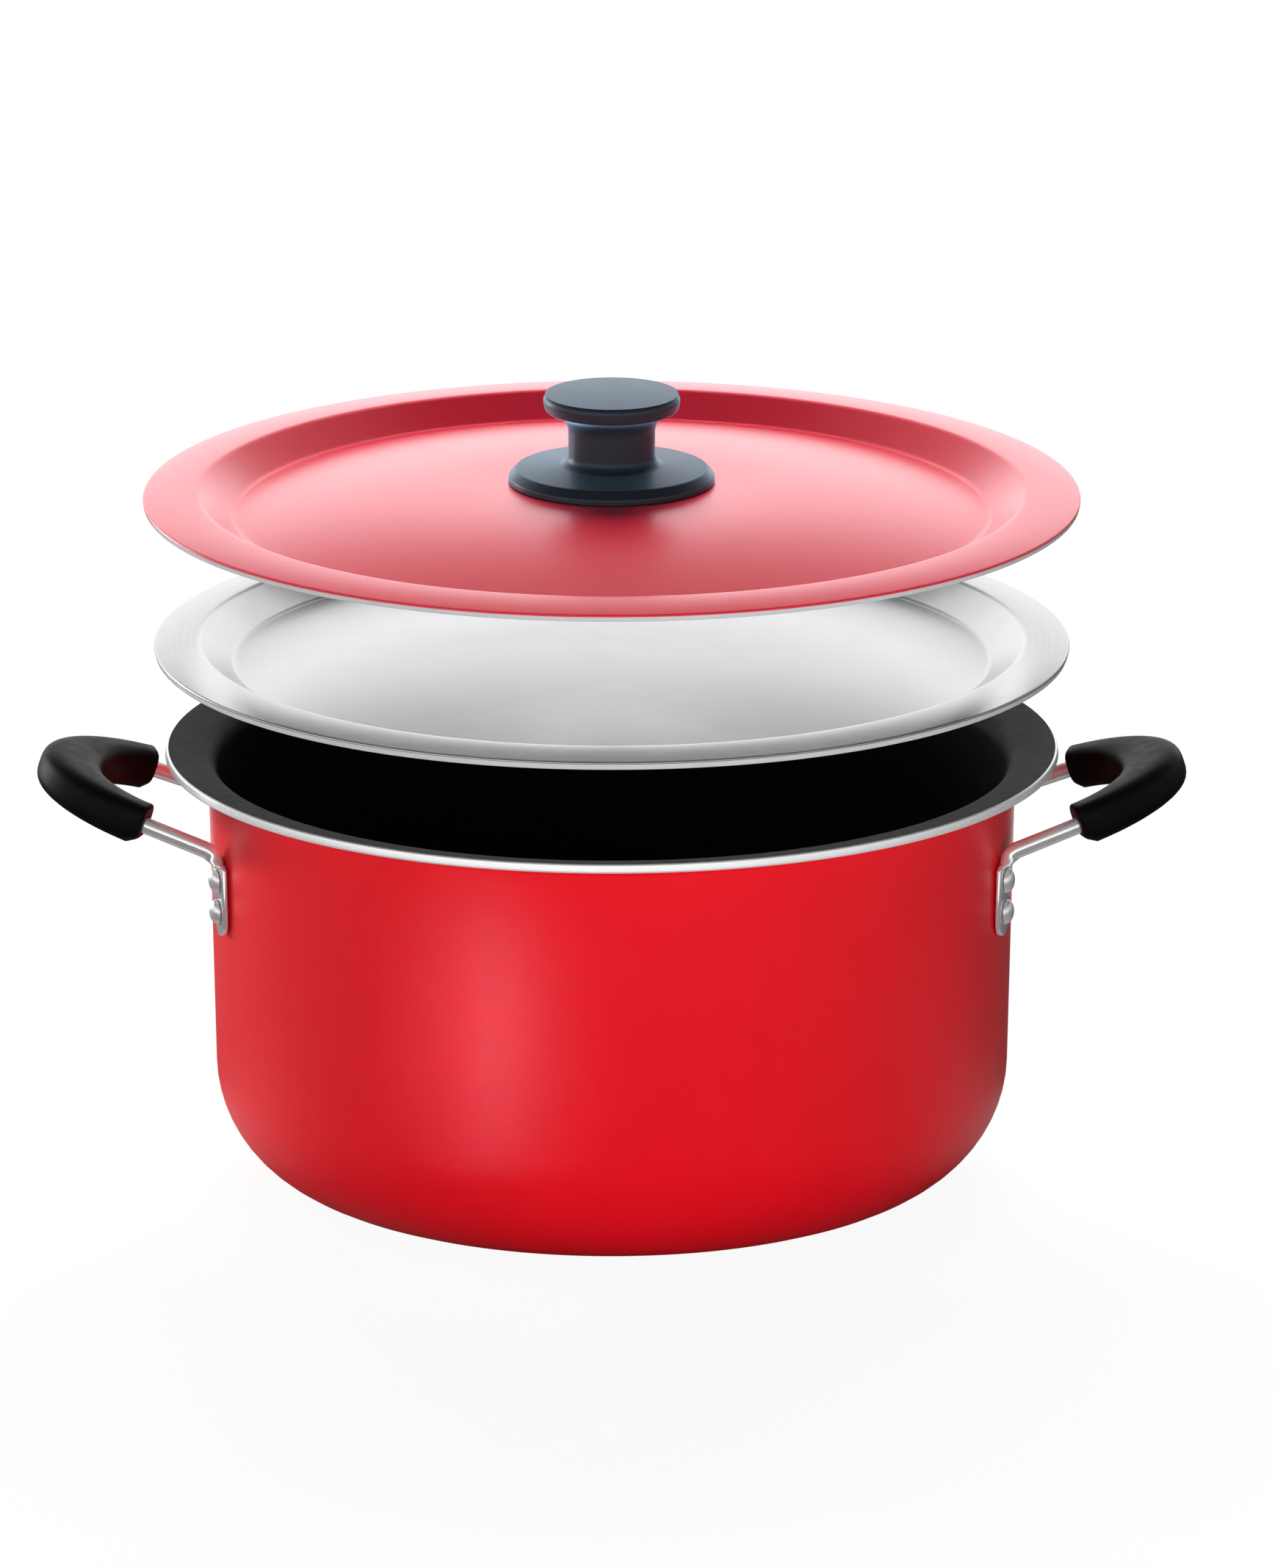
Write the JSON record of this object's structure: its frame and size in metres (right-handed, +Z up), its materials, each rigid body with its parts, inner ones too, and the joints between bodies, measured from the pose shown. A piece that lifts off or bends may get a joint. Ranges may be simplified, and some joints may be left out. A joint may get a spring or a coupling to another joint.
{
  "type": "biryani pot",
  "caption": "Deep round cooking pot with a flared lip, wire loop handles with moulded grips, a plain inner lid and a coated outer lid with a mushroom knob.",
  "frame": {"origin": "middle of the base, on the surface that the pot stands on", "axes": "+X through the right-hand handle, +Z up along the pot's axis"},
  "size_m": [0.4114, 0.3344, 0.29],
  "materials": {
    "red_coating": "glossy red heat-proof coating over aluminium; the pot is matt black inside and its lip edge is bare",
    "bare_aluminium": "satin spun aluminium, bright edge",
    "chrome_wire": "polished chrome-plated steel wire",
    "rivet_metal": "polished aluminium",
    "black_grip": "glossy moulded black phenolic",
    "slate_knob": "satin moulded slate-grey phenolic",
    "brass_insert": "turned brass",
    "zinc_steel": "zinc-plated steel"
  },
  "bodies": {
    "pot": {"pot_body": "red_coating", "handle_wire_left": "chrome_wire", "handle_wire_right": "chrome_wire", "handle_grip_left": "black_grip", "handle_grip_right": "black_grip", "rivet_left_front_upper": "rivet_metal", "rivet_left_front_lower": "rivet_metal", "rivet_left_back_upper": "rivet_metal", "rivet_left_back_lower": "rivet_metal", "rivet_right_front_upper": "rivet_metal", "rivet_right_front_lower": "rivet_metal", "rivet_right_back_upper": "rivet_metal", "rivet_right_back_lower": "rivet_metal"},
    "inner_lid": {"inner_lid": "bare_aluminium"},
    "outer_lid": {"outer_lid": "red_coating", "knob": "slate_knob", "knob_insert": "brass_insert", "knob_washer": "zinc_steel", "knob_screw": "zinc_steel"}
  },
  "joints": [
    {"name": "plate_lift", "type": "slide", "parent": "pot", "child": "inner_lid", "axis": [0, 0, 1], "range_m": [-0.0353, 0.04]},
    {"name": "lid_lift", "type": "slide", "parent": "inner_lid", "child": "outer_lid", "axis": [0, 0, 1], "range_m": [-0.0505, 0.06]}
  ]
}
